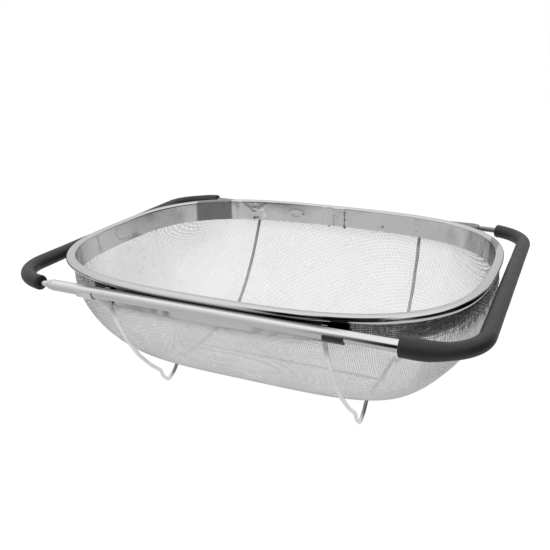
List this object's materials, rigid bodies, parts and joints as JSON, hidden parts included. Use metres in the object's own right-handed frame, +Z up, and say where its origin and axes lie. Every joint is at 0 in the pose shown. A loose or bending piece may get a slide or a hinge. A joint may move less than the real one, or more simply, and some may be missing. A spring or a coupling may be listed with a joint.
{
  "type": "over-the-sink sieve basket",
  "caption": "Fine-mesh steel sieve basket with a rounded rectangular rim, wire feet and telescoping U-handles with rubber grips that rest across a sink or tub.",
  "frame": {"origin": "midway between the two grips, on the plane that the four wire feet stand on", "axes": "+X along the long side towards the right handle, -Y to the front, +Z up"},
  "size_m": [0.3762, 0.2902, 0.1203],
  "materials": {
    "polished_steel": "polished stainless steel sheet and tube",
    "woven_steel": "fine plain-woven stainless wire cloth",
    "wire_steel": "bright drawn stainless wire",
    "black_rubber": "satin black rubber sleeve"
  },
  "bodies": {
    "basket": {"rim_band": "polished_steel", "mesh_basket": "woven_steel", "front_side_plate": "polished_steel", "rear_side_plate": "polished_steel", "front_left_clip": "polished_steel", "front_right_clip": "polished_steel", "rear_left_clip": "polished_steel", "rear_right_clip": "polished_steel", "left_leg_wire": "wire_steel", "right_leg_wire": "wire_steel", "bottom_brace_wire": "wire_steel"},
    "right_handle": {"right_rod": "polished_steel", "right_tube": "polished_steel", "right_tube_plug": "polished_steel", "right_rod_stop": "polished_steel", "right_grip": "black_rubber"},
    "left_handle": {"left_rod": "polished_steel", "left_tube": "polished_steel", "left_tube_plug": "polished_steel", "left_rod_stop": "polished_steel", "left_grip": "black_rubber"}
  },
  "joints": [
    {"name": "right_handle_slide", "type": "slide", "parent": "basket", "child": "right_handle", "axis": [1, 0, 0], "range_m": [-0.0035, 0.075]},
    {"name": "left_handle_slide", "type": "slide", "parent": "basket", "child": "left_handle", "axis": [-1, 0, 0], "range_m": [0, 0.075]}
  ]
}
